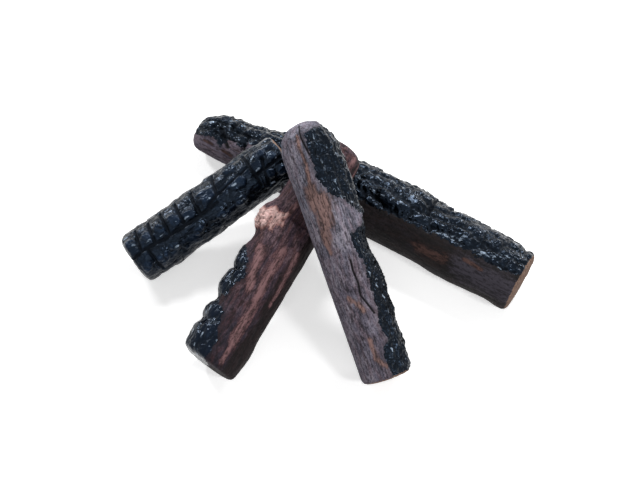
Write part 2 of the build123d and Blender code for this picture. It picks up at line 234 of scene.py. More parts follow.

# How marks lie on it: along slanted ends in shares of the radius, over the edge of an end's face
# by how squarely the skin faces along the log, as dabs of painted glint with a half width in mm,
# and in grooves with steep sides.
slant_hinge_share = 0.8
slant_reach_share = 3
face_edge = (0.55, 0.85)
dab_half_width = 2.6
dab_reach = 2 * MM
dab_strength = 1.25
groove_steepness = 2


def corners(mesh):
    """The corners of a mesh as an array."""
    return np.array([vertex.co for vertex in mesh.vertices])


class LogSkin:
    """A dense skin laid over one solid log: rings of points around its axis, from foot to head.

    The rings close on a pole at each end. They are cast inwards on the solid's own surface from
    a rounded shell about the middle of its two rods. Towards is roughly where the head lies.
    Bends give the log's true axis, in mm towards its side and its top from that middle line, by
    share of its length.
    """

    def __init__(self, log_name, length, radius, step, pins, towards=(0, 0, 1),
                 bends=((0, 0, 0), (1, 0, 0)), foot_slant=0, head_slant=0,
                 smoothing=skin_smoothing):
        self.name = log_name
        self.length = length
        self.radius = radius
        self.bends = np.array(bends)
        self.foot_slant = tan(radians(foot_slant))
        self.head_slant = tan(radians(head_slant))
        solid = frame["nodes"][log_name].data
        faces = [tuple(polygon.vertices) for polygon in solid.polygons]
        self.surface = BVHTree.FromPolygons([vertex.co for vertex in solid.vertices], faces)
        rods = [corners(frame["nodes"][f"{log_name}_rod_{hand}"].data)
                for hand in ("left", "right")]
        middle = (rods[0].mean(0) + rods[1].mean(0)) / 2
        along = np.linalg.svd(rods[0] - rods[0].mean(0))[2][0]
        self.along = along * np.sign(along @ towards)
        side = np.cross(self.along, (0, 0, 1))
        self.side = side / np.linalg.norm(side)
        self.top = np.cross(self.side, self.along)
        head = ((corners(solid) - middle) @ self.along).max()
        self.foot = middle + self.along * (head - length)
        self.flats = [self.find_flat(pin, joint) for pin, joint in pins.items()]
        self.cast(step, smoothing)
        self.lay_faces()

    def find_flat(self, pin, joint_name):
        """The flat that a pin stands on: a point of it, its normal and a point on the pin."""
        joint = next(joint for joint in frame["joints"] if joint["name"] == joint_name)
        normal = Vector(joint["axis"]).normalized()
        lowest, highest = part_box(pin)
        middle = (lowest + highest) / 2
        beside = middle + normal.orthogonal().normalized() * 2 * bore_reach
        point = self.surface.ray_cast(beside, normal)[0]
        return np.array(point), np.array(normal), np.array(middle)

    def shell(self, step):
        """Rings of the shell: where each is cast from on the axis, and its lean to the axis."""
        face_steps = ceil(self.radius / step)
        face = [(0, self.radius * ring / face_steps) for ring in range(1, face_steps)]
        wall = [(self.radius * ring / face_steps, self.radius) for ring in range(face_steps)]
        cap = [(radius, self.radius - depth) for depth, radius in face + wall]
        body_steps = ceil((self.length - 2 * self.radius) / step)
        foot_rings = [(self.radius, across, -back) for across, back in cap]
        body = [(self.radius + (self.length - 2 * self.radius) * ring / body_steps, 1, 0)
                for ring in range(body_steps + 1)]
        head_rings = [(self.length - self.radius, across, back) for across, back in cap[::-1]]
        return foot_rings + body + head_rings

    def cast_one(self, centre, direction):
        """Where a ray towards the axis meets the solid, and whether it meets a flat there.

        A pin's bore is passed over, so the flat around it goes on across its mouth.
        """
        start = centre + direction * cast_reach
        point, normal, _, _ = self.surface.ray_cast(Vector(start), Vector(-direction))
        point = np.array(point)
        on_flat = point[2] < flat_tolerance and normal.z < -flat_facing
        for flat, flat_normal, pin in self.flats:
            height = (point - flat) @ flat_normal
            off_pin = point - pin - ((point - pin) @ flat_normal) * flat_normal
            in_bore = (flat_tolerance < abs(height) < bore_depth
                       and off_pin @ off_pin < bore_reach ** 2)
            if in_bore:
                run = direction * ((start - flat) @ flat_normal)
                point = start - run / (direction @ flat_normal)
            faces_it = abs(normal @ Vector(flat_normal)) > flat_facing
            on_flat = on_flat or in_bore or (abs(height) < flat_tolerance and faces_it)
        return (*point, on_flat)

    def cast(self, step, smoothing):
        """Cast the rings and both poles, and smooth the skin where it isn't flat."""
        rings = self.shell(step)
        self.columns = ceil(2 * pi * self.radius / step)
        turns = 2 * pi * np.arange(self.columns) / self.columns
        spokes = np.outer(np.cos(turns), self.top) + np.outer(np.sin(turns), self.side)
        hits = np.empty((len(rings), self.columns, 4))
        for row, (station, across, back) in enumerate(rings):
            centre = self.foot + self.along * station
            directions = (spokes * across + self.along * back) / hypot(across, back)
            hits[row] = [self.cast_one(centre, direction) for direction in directions]
        points, flat = hits[..., :3], hits[..., 3]
        for _ in range(smoothing):
            above = np.concatenate([points[:1], points[:-1]])
            below = np.concatenate([points[1:], points[-1:]])
            around = np.roll(points, 1, 1) + np.roll(points, -1, 1)
            mean = (2 * points + around + above + below) / 6
            points = np.where(flat[..., None] > 0, points, mean)
        for _ in range(flat_feather):
            around = np.maximum(np.roll(flat, 1, 1), np.roll(flat, -1, 1))
            above = np.concatenate([flat[:1], flat[:-1]])
            below = np.concatenate([flat[1:], flat[-1:]])
            near = np.maximum(around, np.maximum(above, below))
            flat = np.maximum(flat, near - 1 / (flat_feather + 1))
        poles = [self.cast_one(self.foot + self.along * station, self.along * way)[:3]
                 for station, way in ((self.radius, -1), (self.length - self.radius, 1))]
        self.points = np.concatenate([points.reshape(-1, 3), poles])
        self.flat = np.concatenate([flat.ravel(), (0, 0)])
        self.find_places()

    def find_places(self):
        """Where each point lies on the log: along, to the side and up, then share and angle.

        A slanted foot reaches furthest on its left, and a slanted head along its top.
        """
        offset = self.points - self.foot
        self.place = np.stack([offset @ self.along, offset @ self.side, offset @ self.top], 1)
        station, sideways, upward = self.place.T
        slant_reach = slant_reach_share * self.radius
        foot_fade = np.clip(1 - station / slant_reach, 0, 1)
        head_fade = np.clip(1 - (self.length - station) / slant_reach, 0, 1)
        below_hinge = slant_hinge_share * self.radius - upward
        station = station + self.foot_slant * foot_fade * sideways
        self.station = station + self.head_slant * head_fade * below_hinge
        self.share = self.station / self.length
        bend_shares, bend_sides, bend_tops = self.bends.T
        sideways = sideways - MM * np.interp(self.share, bend_shares, bend_sides)
        upward = upward - MM * np.interp(self.share, bend_shares, bend_tops)
        self.turn = np.degrees(np.arctan2(sideways, upward))

    def lay_faces(self):
        """Join the rings and the poles into one closed mesh."""
        rows = (len(self.points) - 2) // self.columns
        faces = []
        for row in range(rows - 1):
            for column in range(self.columns):
                start = row * self.columns
                following = (column + 1) % self.columns
                faces.append((start + column, start + following, start + self.columns + following,
                              start + self.columns + column))
        foot_pole, head_pole = rows * self.columns, rows * self.columns + 1
        last = (rows - 1) * self.columns
        for column in range(self.columns):
            following = (column + 1) % self.columns
            faces.append((foot_pole, following, column))
            faces.append((head_pole, last + column, last + following))
        self.mesh = bpy.data.meshes.new(self.name + "_skin")
        self.mesh.from_pydata(self.points.tolist(), [], faces)
        self.mesh.shade_smooth()
        normals = np.array([normal.vector for normal in self.mesh.vertex_normals])
        self.facing = normals @ self.along

    def end_face(self, way):
        """One on the face of an end, -1 for the foot and 1 for the head, fading over its edge."""
        low, high = face_edge
        return np.clip((self.facing * way - low) / (high - low), 0, 1)

    def distance(self, line):
        """Distance of every point of the skin from a line drawn on it."""
        across = self.radius * pi / 180
        nearest = np.full(len(self.share), np.inf)
        for (share_a, turn_a), (share_b, turn_b) in zip(line, line[1:]):
            start = np.array((share_a * self.length, turn_a * across))
            run = np.array((share_b * self.length, turn_b * across)) - start
            for lap in (-360, 0, 360):
                spot = np.stack([self.station, (self.turn + lap) * across], 1) - start
                gone = np.clip(spot @ run / max(run @ run, MM ** 2), 0, 1)
                nearest = np.minimum(nearest, np.linalg.norm(spot - gone[:, None] * run, axis=1))
        return nearest

    def inside(self, outline):
        """How far inside an outline each point of the skin lies. Outside it is below zero."""
        closed = outline + outline[:1]
        within = np.zeros(len(self.share), bool)
        for lap in (-360, 0, 360):
            turn = self.turn + lap
            for (share_a, turn_a), (share_b, turn_b) in zip(closed, closed[1:]):
                if share_a != share_b:
                    crossed = (self.share < share_a) != (self.share < share_b)
                    rise = (self.share - share_a) / (share_b - share_a)
                    within ^= crossed & (turn < turn_a + rise * (turn_b - turn_a))
        return np.where(within, 1, -1) * self.distance(closed)

    def strokes(self, lines):
        """One along the middle of brushed lines, fading to zero at their half width, in mm."""
        touch = np.zeros(len(self.share))
        for half_width, line in lines:
            touch = np.maximum(touch, 1 - self.distance(line) / (half_width * MM))
        return touch

    # The dabs are painted highlights: small pale marks where a lamp would glint on the enamel.
    def dabs(self, spots):
        """Short dabs of the brush along the log, one at each spot."""
        reach = dab_reach / self.length
        return dab_strength * self.strokes([(dab_half_width, [(share - reach, turn),
                                                              (share + reach, turn)])
                                            for share, turn in spots])

    def add_marks(self, marks):
        """Carry the log's own marks and the given ones on the mesh, as attributes."""
        place = self.mesh.attributes.new("place", "FLOAT_VECTOR", "POINT")
        place.data.foreach_set("vector", self.place.ravel())
        own = {"station": self.station, "turn": self.turn, "flat": self.flat,
               "face": self.end_face(-1) + self.end_face(1)}
        for mark, values in {**own, **marks}.items():
            attribute = self.mesh.attributes.new(mark, "FLOAT", "POINT")
            attribute.data.foreach_set("value", values.astype(np.float32))


# The furrows between blocks of char are laid by the same rule as on the solids.
furrow_wander_share = 0.22
row_shift_share = 0.618
block_uneven_share = 0.26
wave_block_count = 3.4

# On the skin they are bent a little more, meet in round corners and close up here and there.
furrow_bend = 11 * MM
furrow_bend_spacing = 6 * MM
furrow_corner = 3 * MM
furrow_opening_spacing = 22 * MM
furrow_opening_range = (0.42, 0.56)
furrow_least_opening = 0.25
crown_reach = 6 * MM

# Finer relief. A crack is drawn where its noise is near the middle of its range, and the shares
# say how near.
noise_middle = 0.5
noise_range = (0.3, 0.7)
flake_warp = (1.2, 1.2, 1.2)
flake_crack_share = 0.16
flake_soot_share = 0.2
wrinkle_stretch = 2.2
fold_share = 0.16
hair_crack_share = 0.05
swell_spacing = 16 * MM
splinter_spacing = 2.5 * MM
splinter_share = -1.6

# The edges of the char, of its bosses and of raw cement are notched. The face of an end keeps
# most of its shape, and char counts as proud from one of these depths up to the other.
edge_notches_per_metre = 130
char_edge = 0.5 * MM
boss_notch_share = 0.12
boss_rim = (0.1, 0.6)
raw_notch_share = 0.3
face_hold_share = 0.75
proud_heights = (-0.6 * MM, 2.4 * MM)

relief_sizes = ("Block Length", "Crack Width", "Crack Depth", "Block Lift", "Block Tilt",
                "Crown Depth", "Flake Length", "Flake Width", "Flake Depth", "Lump Width",
                "Lump Depth", "Wrinkle Width", "Wrinkle Depth", "Char Rise", "Edge Wander",
                "Grain Length", "Grain Width", "Grain Depth", "Swell Depth", "Groove Depth",
                "Patch Rise", "Boss Rise", "Skin Rise")


def make_relief_tree():
    """The relief of a log's skin: cracked blocks on its char, grain on its wood, none on flats."""
    tree = bpy.data.node_groups.new("log relief", "GeometryNodeTree")
    face = tree.interface
    face.new_socket("Geometry", in_out="INPUT", socket_type="NodeSocketGeometry")
    for size in (*relief_sizes, "Radius", "Rows", "Seed"):
        face.new_socket(size, in_out="INPUT", socket_type="NodeSocketFloat")
    for layer in ("Wood Paint", "Char Paint", "End Paint"):
        face.new_socket(layer, in_out="INPUT", socket_type="NodeSocketMaterial")
    face.new_socket("Geometry", in_out="OUTPUT", socket_type="NodeSocketGeometry")
    add = partial(add_node, tree)
    given = add("NodeGroupInput").outputs
    place = add("GeometryNodeInputNamedAttribute", {"Name": "place"}, data_type="FLOAT_VECTOR")
    marks = {name: add("GeometryNodeInputNamedAttribute", {"Name": name}, data_type="FLOAT")
             for name in ("station", "turn", "flat", "face", "char_reach", "groove", "patch",
                          "boss", "raw")}
    spot = add("ShaderNodeVectorMath", {0: place, 1: given["Seed"]}, operation="ADD")
    noise_low, noise_high = noise_range

    # The char's edge wanders about its drawn outline.
    edge_noise = add("ShaderNodeTexNoise", {"Vector": spot, "Scale": edge_notches_per_metre,
                                            "Detail": 5, "Roughness": 0.65})
    edge_shift = add("ShaderNodeMapRange", {"Value": edge_noise, "From Min": noise_low,
                                            "From Max": noise_high, "To Min": -1, "To Max": 1},
                     clamp=False)
    char_reach = add("ShaderNodeMath", {0: edge_shift, 1: given["Edge Wander"],
                                        2: marks["char_reach"]}, operation="MULTIPLY_ADD")
    char = add("ShaderNodeMapRange", {"Value": char_reach, "From Min": -char_edge,
                                      "From Max": char_edge}, interpolation_type="SMOOTHSTEP")

    # Furrows: lines across a row of blocks, or between two rows, which noise bends.
    bend = add("ShaderNodeTexNoise", {"Vector": spot, "Scale": 1 / furrow_bend_spacing,
                                      "Detail": 3, "Roughness": 0.6})
    bend_parts = add("FunctionNodeSeparateColor", {"Color": bend.outputs["Color"]}).outputs

    def find_furrow(across, bend_part, block_size):
        """How far the nearest furrow is, which block a point is in, and where in that block."""
        bent = add("ShaderNodeMath", {0: bend_part, 1: noise_middle}, operation="SUBTRACT")
        bent = add("ShaderNodeMath", {0: bent, 1: furrow_bend}, operation="MULTIPLY")
        bent = add("ShaderNodeMath", {0: bent, 1: block_size}, operation="DIVIDE")
        bent = add("ShaderNodeMath", {0: bent, 1: across}, operation="ADD")
        nearest = add("ShaderNodeMath", {0: bent}, operation="ROUND")
        gap = add("ShaderNodeMath", {0: bent, 1: nearest}, operation="SUBTRACT")
        gap = add("ShaderNodeMath", {0: gap}, operation="ABSOLUTE")
        gap = add("ShaderNodeMath", {0: gap, 1: block_size}, operation="MULTIPLY")
        number = add("ShaderNodeMath", {0: bent}, operation="FLOOR")
        part = add("ShaderNodeMath", {0: bent, 1: number}, operation="SUBTRACT")
        part = add("ShaderNodeMath", {0: part, 1: 0.5}, operation="SUBTRACT")
        return gap, number, part

    # Rows of blocks lie along the log, and their lines wander around it.
    row_width = add("ShaderNodeMath", {0: given["Radius"], 1: 2 * pi}, operation="MULTIPLY")
    row_width = add("ShaderNodeMath", {0: row_width, 1: given["Rows"]}, operation="DIVIDE")
    wave = 2 * pi / wave_block_count
    blocks = add("ShaderNodeMath", {0: marks["station"], 1: given["Block Length"]},
                 operation="DIVIDE")
    double_turn = add("ShaderNodeMath", {0: marks["turn"], 1: radians(2)}, operation="MULTIPLY")
    wander = add("ShaderNodeMath", {0: blocks, 1: wave, 2: double_turn}, operation="MULTIPLY_ADD")
    wander = add("ShaderNodeMath", {0: wander}, operation="SINE")
    laps = add("ShaderNodeMath", {0: marks["turn"], 1: 360}, operation="DIVIDE")
    rows = add("ShaderNodeMath", {0: laps, 1: given["Rows"]}, operation="MULTIPLY")
    rows = add("ShaderNodeMath", {0: wander, 1: furrow_wander_share, 2: rows},
               operation="MULTIPLY_ADD")
    row_gap, row, row_part = find_furrow(rows, bend_parts["Red"], row_width)

    # Along each row the blocks are shifted on from the next row's, and of uneven length.
    row = add("ShaderNodeMath", {0: row, 1: given["Rows"]}, operation="FLOORED_MODULO")
    shifted = add("ShaderNodeMath", {0: row, 1: row_shift_share, 2: blocks},
                  operation="MULTIPLY_ADD")
    uneven = add("ShaderNodeMath", {0: shifted, 1: wave, 2: row}, operation="MULTIPLY_ADD")
    uneven = add("ShaderNodeMath", {0: uneven}, operation="SINE")
    blocks = add("ShaderNodeMath", {0: uneven, 1: block_uneven_share, 2: shifted},
                 operation="MULTIPLY_ADD")
    block_gap, block, block_part = find_furrow(blocks, bend_parts["Green"], given["Block Length"])

    # A crack runs along the furrows, and a block's crown falls away to them.
    gap = add("ShaderNodeMath", {0: row_gap, 1: block_gap, 2: furrow_corner},
              operation="SMOOTH_MIN")
    closed, opened = furrow_opening_range
    opening = add("ShaderNodeTexNoise", {"Vector": spot, "Scale": 1 / furrow_opening_spacing,
                                         "Detail": 1})
    opening = add("ShaderNodeMapRange", {"Value": opening, "From Min": closed, "From Max": opened,
                                         "To Min": furrow_least_opening})
    crack = add("ShaderNodeMapRange", {"Value": gap, "From Max": given["Crack Width"],
                                       "To Min": 1, "To Max": 0}, interpolation_type="SMOOTHSTEP")
    crack = add("ShaderNodeMath", {0: crack, 1: opening}, operation="MULTIPLY")
    crown = add("ShaderNodeMapRange", {"Value": gap, "From Max": crown_reach, "To Min": 1,
                                       "To Max": 0}, interpolation_type="SMOOTHERSTEP")

    # Every block has a height and a tilt of its own.
    block = add("ShaderNodeCombineXYZ", {"X": row, "Y": block, "Z": given["Seed"]})
    lot = add("ShaderNodeTexWhiteNoise", {"Vector": block}, noise_dimensions="3D")
    lots = add("FunctionNodeSeparateColor", {"Color": lot.outputs["Color"]}).outputs
    tilt = 0
    for part, draw in ((row_part, lots["Red"]), (block_part, lots["Green"])):
        slope = add("ShaderNodeMath", {0: draw, 1: 0.5}, operation="SUBTRACT")
        tilt = add("ShaderNodeMath", {0: slope, 1: part, 2: tilt}, operation="MULTIPLY_ADD")

    # Flakes are finer cracks across the blocks, and lumps swell under them.
    flake_size = add("ShaderNodeCombineXYZ", {"X": given["Flake Length"], "Y": given["Flake Width"],
                                              "Z": given["Flake Width"]})
    in_flakes = add("ShaderNodeVectorMath", {0: spot, 1: flake_size}, operation="DIVIDE")
    in_flakes = add("ShaderNodeVectorMath", {0: bend.outputs["Color"], 1: flake_warp,
                                             2: in_flakes}, operation="MULTIPLY_ADD")
    flake = add("ShaderNodeTexVoronoi", {"Vector": in_flakes, "Scale": 1},
                feature="DISTANCE_TO_EDGE")
    flake_crack = add("ShaderNodeMapRange", {"Value": flake, "From Max": flake_crack_share,
                                             "To Min": 1, "To Max": 0},
                      interpolation_type="SMOOTHSTEP")
    lump_size = add("ShaderNodeMath", {0: 1, 1: given["Lump Width"]}, operation="DIVIDE")
    lumps = add("ShaderNodeTexNoise", {"Vector": spot, "Scale": lump_size, "Detail": 2})
    lumps = add("ShaderNodeMapRange", {"Value": lumps, "From Min": noise_low,
                                       "From Max": noise_high})

    # Wrinkles on the blocks, drawn out along the log.
    wrinkle_long = add("ShaderNodeMath", {0: given["Wrinkle Width"], 1: wrinkle_stretch},
                       operation="MULTIPLY")
    wrinkle = add("ShaderNodeCombineXYZ", {"X": wrinkle_long, "Y": given["Wrinkle Width"],
                                           "Z": given["Wrinkle Width"]})
    in_wrinkles = add("ShaderNodeVectorMath", {0: spot, 1: wrinkle}, operation="DIVIDE")
    fold = add("ShaderNodeTexNoise", {"Vector": in_wrinkles, "Scale": 1, "Detail": 3,
                                      "Roughness": 0.55, "Distortion": 0.6})
    fold = add("ShaderNodeMath", {0: fold, 1: noise_middle}, operation="SUBTRACT")
    fold = add("ShaderNodeMath", {0: fold}, operation="ABSOLUTE")
    fold = add("ShaderNodeMapRange", {"Value": fold, "From Max": fold_share})

    # Grain of the wood: long hair cracks, over a slow swell of the skin.
    grain_size = add("ShaderNodeCombineXYZ", {"X": given["Grain Length"], "Y": given["Grain Width"],
                                              "Z": given["Grain Width"]})
    in_grain = add("ShaderNodeVectorMath", {0: spot, 1: grain_size}, operation="DIVIDE")
    grain = add("ShaderNodeTexNoise", {"Vector": in_grain, "Scale": 1, "Detail": 4,
                                       "Roughness": 0.6, "Distortion": 0.3})
    grain = add("ShaderNodeMath", {0: grain, 1: noise_middle}, operation="SUBTRACT")
    grain = add("ShaderNodeMath", {0: grain}, operation="ABSOLUTE")
    grain = add("ShaderNodeMapRange", {"Value": grain, "From Max": hair_crack_share, "To Min": 1,
                                       "To Max": 0}, interpolation_type="SMOOTHSTEP")
    swell = add("ShaderNodeTexNoise", {"Vector": spot, "Scale": 1 / swell_spacing, "Detail": 3})

    # Torn wood where a branch broke off: a raised crumb of short splinters.
    crumb = add("ShaderNodeTexNoise", {"Vector": spot, "Scale": 1 / splinter_spacing, "Detail": 3,
                                       "Roughness": 0.6})
    crumb = add("ShaderNodeMapRange", {"Value": crumb, "From Min": noise_low,
                                       "From Max": noise_high, "To Min": 0,
                                       "To Max": splinter_share})
    crumb = add("ShaderNodeMath", {0: crumb, 1: marks["patch"]}, operation="MULTIPLY")

    # Bosses: big rounded blocks of char that stand out on their own.
    rim_low, rim_high = boss_rim
    boss = add("ShaderNodeMath", {0: edge_shift, 1: boss_notch_share, 2: marks["boss"]},
               operation="MULTIPLY_ADD")
    boss = add("ShaderNodeMapRange", {"Value": boss, "From Min": rim_low, "From Max": rim_high,
                                      "To Max": -1}, interpolation_type="SMOOTHSTEP")

    # Heights: each depth takes its share away from the skin. Flats and ends stay as they are cut.
    char_depths = ((crack, "Crack Depth"), (lots["Blue"], "Block Lift"), (tilt, "Block Tilt"),
                   (crown, "Crown Depth"), (flake_crack, "Flake Depth"), (lumps, "Lump Depth"),
                   (fold, "Wrinkle Depth"), (boss, "Boss Rise"), (-1, "Char Rise"))
    wood_depths = ((grain, "Grain Depth"), (swell, "Swell Depth"), (crumb, "Patch Rise"))
    shared_depths = ((marks["groove"], "Groove Depth"), (-1, "Skin Rise"))
    totals = []
    for depths in (char_depths, wood_depths, shared_depths):
        total = 0
        for share, depth in depths:
            total = add("ShaderNodeMath", {0: share, 1: given[depth], 2: total},
                        operation="MULTIPLY_ADD")
        totals.append(total)
    char_depth, wood_depth, shared_depth = totals
    depth = add("ShaderNodeMix", {"Factor": char, "A": wood_depth, "B": char_depth})
    depth = add("ShaderNodeMath", {0: depth, 1: shared_depth}, operation="ADD")
    still = add("ShaderNodeMath", {0: marks["face"], 1: face_hold_share, 2: marks["flat"]},
                operation="MULTIPLY_ADD")
    push = add("ShaderNodeMapRange", {"Value": still, "To Min": -1, "To Max": 0})
    push = add("ShaderNodeMath", {0: push, 1: depth}, operation="MULTIPLY")
    offset = add("ShaderNodeVectorMath", {0: add("GeometryNodeInputNormal"), "Scale": push},
                 operation="SCALE")
    skin = add("GeometryNodeSetPosition", {"Geometry": given["Geometry"], "Offset": offset})

    # What the paints need to know of the relief goes along on the mesh.
    proud_high, proud_low = proud_heights
    proud = add("ShaderNodeMapRange", {"Value": char_depth, "From Min": proud_high,
                                       "From Max": proud_low, "To Min": 1, "To Max": 0})
    fissure = add("ShaderNodeMath", {0: flake_crack, 1: flake_soot_share}, operation="MULTIPLY")
    fissure = add("ShaderNodeMath", {0: crack, 1: fissure}, operation="MAXIMUM")
    for name, value in (("crack", fissure), ("grain", grain), ("proud", proud),
                        ("lot", lot.outputs["Value"])):
        skin = add("GeometryNodeStoreNamedAttribute", {"Geometry": skin, "Name": name,
                                                       "Value": value},
                   data_type="FLOAT", domain="POINT")
    skin = add("GeometryNodeRealizeInstances", {"Geometry": skin})
    raw = add("ShaderNodeMath", {0: edge_shift, 1: raw_notch_share, 2: marks["raw"]},
              operation="MULTIPLY_ADD")
    for layer, shown in (("Wood Paint", 1), ("Char Paint", char), ("End Paint", raw)):
        covered = add("ShaderNodeMath", {0: shown, 1: 0.5}, operation="GREATER_THAN")
        skin = add("GeometryNodeSetMaterial", {"Geometry": skin, "Selection": covered,
                                               "Material": given[layer]})
    add("NodeGroupOutput", {"Geometry": skin})
    return tree


relief_tree = make_relief_tree()


def carve(skin, marks, sizes, rows, seed, wood, char):
    """The log's own mesh, with the relief cut into its skin, as an object kept in its box."""
    skin.add_marks(marks)
    flat_mesh = skin.mesh
    carved = bpy.data.objects.new(skin.name + "_skin", flat_mesh)
    bpy.context.scene.collection.objects.link(carved)
    relief = carved.modifiers.new("relief", "NODES")
    relief.node_group = relief_tree
    sockets = {item.name: item.identifier for item in relief_tree.interface.items_tree
               if item.in_out == "INPUT"}
    values = {name: sizes.get(name, 0) * MM for name in relief_sizes}
    values.update({"Radius": skin.radius, "Rows": rows, "Seed": seed})
    for name, value in values.items():
        relief[sockets[name]] = float(value)
    for layer, material in (("Wood Paint", wood), ("Char Paint", char), ("End Paint", raw_cement)):
        relief[sockets[layer]] = material
    finished = bpy.data.meshes.new_from_object(
        carved.evaluated_get(bpy.context.evaluated_depsgraph_get()))
    carved.modifiers.clear()
    points = np.empty(len(finished.vertices) * 3)
    finished.vertices.foreach_get("co", points)
    lowest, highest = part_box(skin.name)
    points = np.clip(points.reshape(-1, 3), lowest, highest)
    finished.vertices.foreach_set("co", points.ravel())
    finished.update()
    finished.name = carved.name
    carved.data = finished
    bpy.data.meshes.remove(flat_mesh)
    return carved


# Patterns of the wash: their sizes across the grain, and how far some are drawn out along it.
# The casting's grit is really finer. It is drawn this coarse so that it shows.
grain_stretch = 4
blotch_size = 6 * MM
cloud_size = 20 * MM
streak_size = 2.6 * MM
speck_size = 1.8 * MM
grit_size = 1.2 * MM
grit_depth = 0.6 * MM

# The wash dries lighter and darker within the narrow middle of its noise. Soot nearly fills the
# hair cracks, and scorches the wood from inside the edge of the char to some way off it.
tone_range = (0.4, 0.6)
blush_range = (0.44, 0.6)
blush_cover = 0.8
dry_roughness = (0.55, 0.9)
soot_hex = "060607"
grain_soot = 0.75
scorch_reach = (-7 * MM, 1 * MM)

# A layer of paint tears to blotches and specks where its mark and their noise together are low.
tear_share = 3
tear_range = (1.9, 2.4)


def read_skin(add, names):
    """Places on a skin, plain and drawn out along the grain, blotches, and marks of its own."""
    place = add("ShaderNodeAttribute", attribute_name="place").outputs["Vector"]
    marks = {name: add("ShaderNodeAttribute", attribute_name=name).outputs["Fac"]
             for name in names}
    stretched = add("ShaderNodeVectorMath", {0: place, 1: (1 / grain_stretch, 1, 1)},
                    operation="MULTIPLY")
    blotch = add("ShaderNodeTexNoise", {"Vector": stretched, "Scale": 1 / blotch_size,
                                        "Detail": 5, "Roughness": 0.65})
    return place, stretched, blotch, marks


